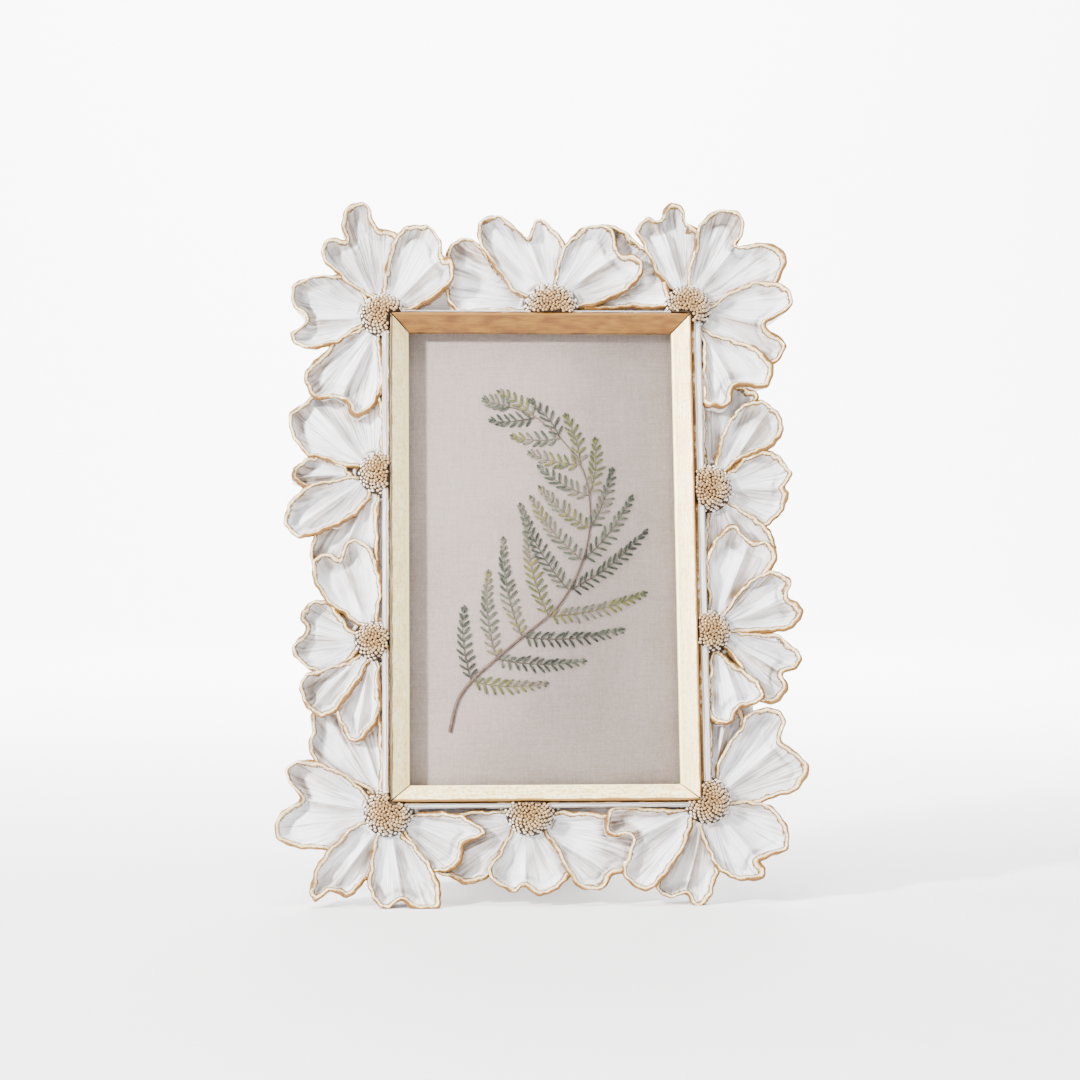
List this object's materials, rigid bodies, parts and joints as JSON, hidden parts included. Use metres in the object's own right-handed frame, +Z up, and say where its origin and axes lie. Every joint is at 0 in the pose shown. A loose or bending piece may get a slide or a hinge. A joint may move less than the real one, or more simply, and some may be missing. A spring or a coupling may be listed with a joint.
{
  "type": "pressed fern picture frame",
  "caption": "Table-top frame: white cast flower border with gold edges and beaded centres, gilt bevelled slip, glass over a fern on linen card, easel strut behind.",
  "frame": {"origin": "on the surface the frame stands on, under the middle of its outline, at rest", "axes": "+Z up, -Y the way the picture faces, +X to the viewer's right; the frame leans back 12 degrees"},
  "size_m": [0.1666, 0.0936, 0.2217],
  "materials": {
    "white_enamel": "white painted cast resin with hand-painted gold edges, satin",
    "gilt": "brushed champagne-gold paint with a darker outer line",
    "beads": "fine champagne-gold beading with brown antiquing between the beads",
    "glass": "clear float glass",
    "linen_card": "taupe card with a fine linen texture",
    "dried_fern": "pressed sage to dark green leaflets on a brown stalk",
    "velvet": "taupe velveteen over board, cut edges turned in",
    "brassed_steel": "brass-plated steel, lightly scuffed"
  },
  "bodies": {
    "frame": {"flower_border": "white_enamel", "slip_left": "gilt", "slip_right": "gilt", "slip_top": "gilt", "slip_bottom": "gilt", "glass_pane": "glass", "fern_sprig": "dried_fern", "linen_card": "linen_card", "back_board": "velvet", "hinge_leaf": "brassed_steel", "hinge_pin": "brassed_steel", "hinge_rivet_left": "brassed_steel", "hinge_rivet_right": "brassed_steel", "stamens_top_left": "beads", "stamens_top_middle": "beads", "stamens_top_right": "beads", "stamens_left_upper": "beads", "stamens_left_lower": "beads", "stamens_bottom_left": "beads", "stamens_bottom_middle": "beads", "stamens_bottom_right": "beads", "stamens_right_upper": "beads", "stamens_right_lower": "beads", "button_screw_upper_left": "brassed_steel", "button_screw_upper_right": "brassed_steel", "button_screw_lower_left": "brassed_steel", "button_screw_lower_right": "brassed_steel"},
    "strut": {"easel_strut": "velvet", "strut_leaf": "brassed_steel", "strut_rivet_upper": "brassed_steel", "strut_rivet_lower": "brassed_steel"},
    "button_upper_left": {"turn_button_upper_left": "brassed_steel"},
    "button_upper_right": {"turn_button_upper_right": "brassed_steel"},
    "button_lower_left": {"turn_button_lower_left": "brassed_steel"},
    "button_lower_right": {"turn_button_lower_right": "brassed_steel"}
  },
  "joints": [
    {"name": "strut_hinge", "type": "hinge", "parent": "frame", "child": "strut", "pos_m": [0.00075, -0.00076, 0.13456], "axis": [-1, 0, 0], "range_deg": [0, 30]},
    {"name": "button_swivel_upper_left", "type": "hinge", "parent": "frame", "child": "button_upper_left", "pos_m": [-0.05325, -0.00009, 0.14975], "axis": [0, -0.9781, 0.2079], "range_deg": [-90, 90]},
    {"name": "button_swivel_upper_right", "type": "hinge", "parent": "frame", "child": "button_upper_right", "pos_m": [0.05475, -0.00009, 0.14975], "axis": [0, -0.9781, 0.2079], "range_deg": [-90, 90]},
    {"name": "button_swivel_lower_left", "type": "hinge", "parent": "frame", "child": "button_lower_left", "pos_m": [-0.05325, -0.0188, 0.06172], "axis": [0, -0.9781, 0.2079], "range_deg": [-90, 90]},
    {"name": "button_swivel_lower_right", "type": "hinge", "parent": "frame", "child": "button_lower_right", "pos_m": [0.05475, -0.0188, 0.06172], "axis": [0, -0.9781, 0.2079], "range_deg": [-90, 90]}
  ]
}
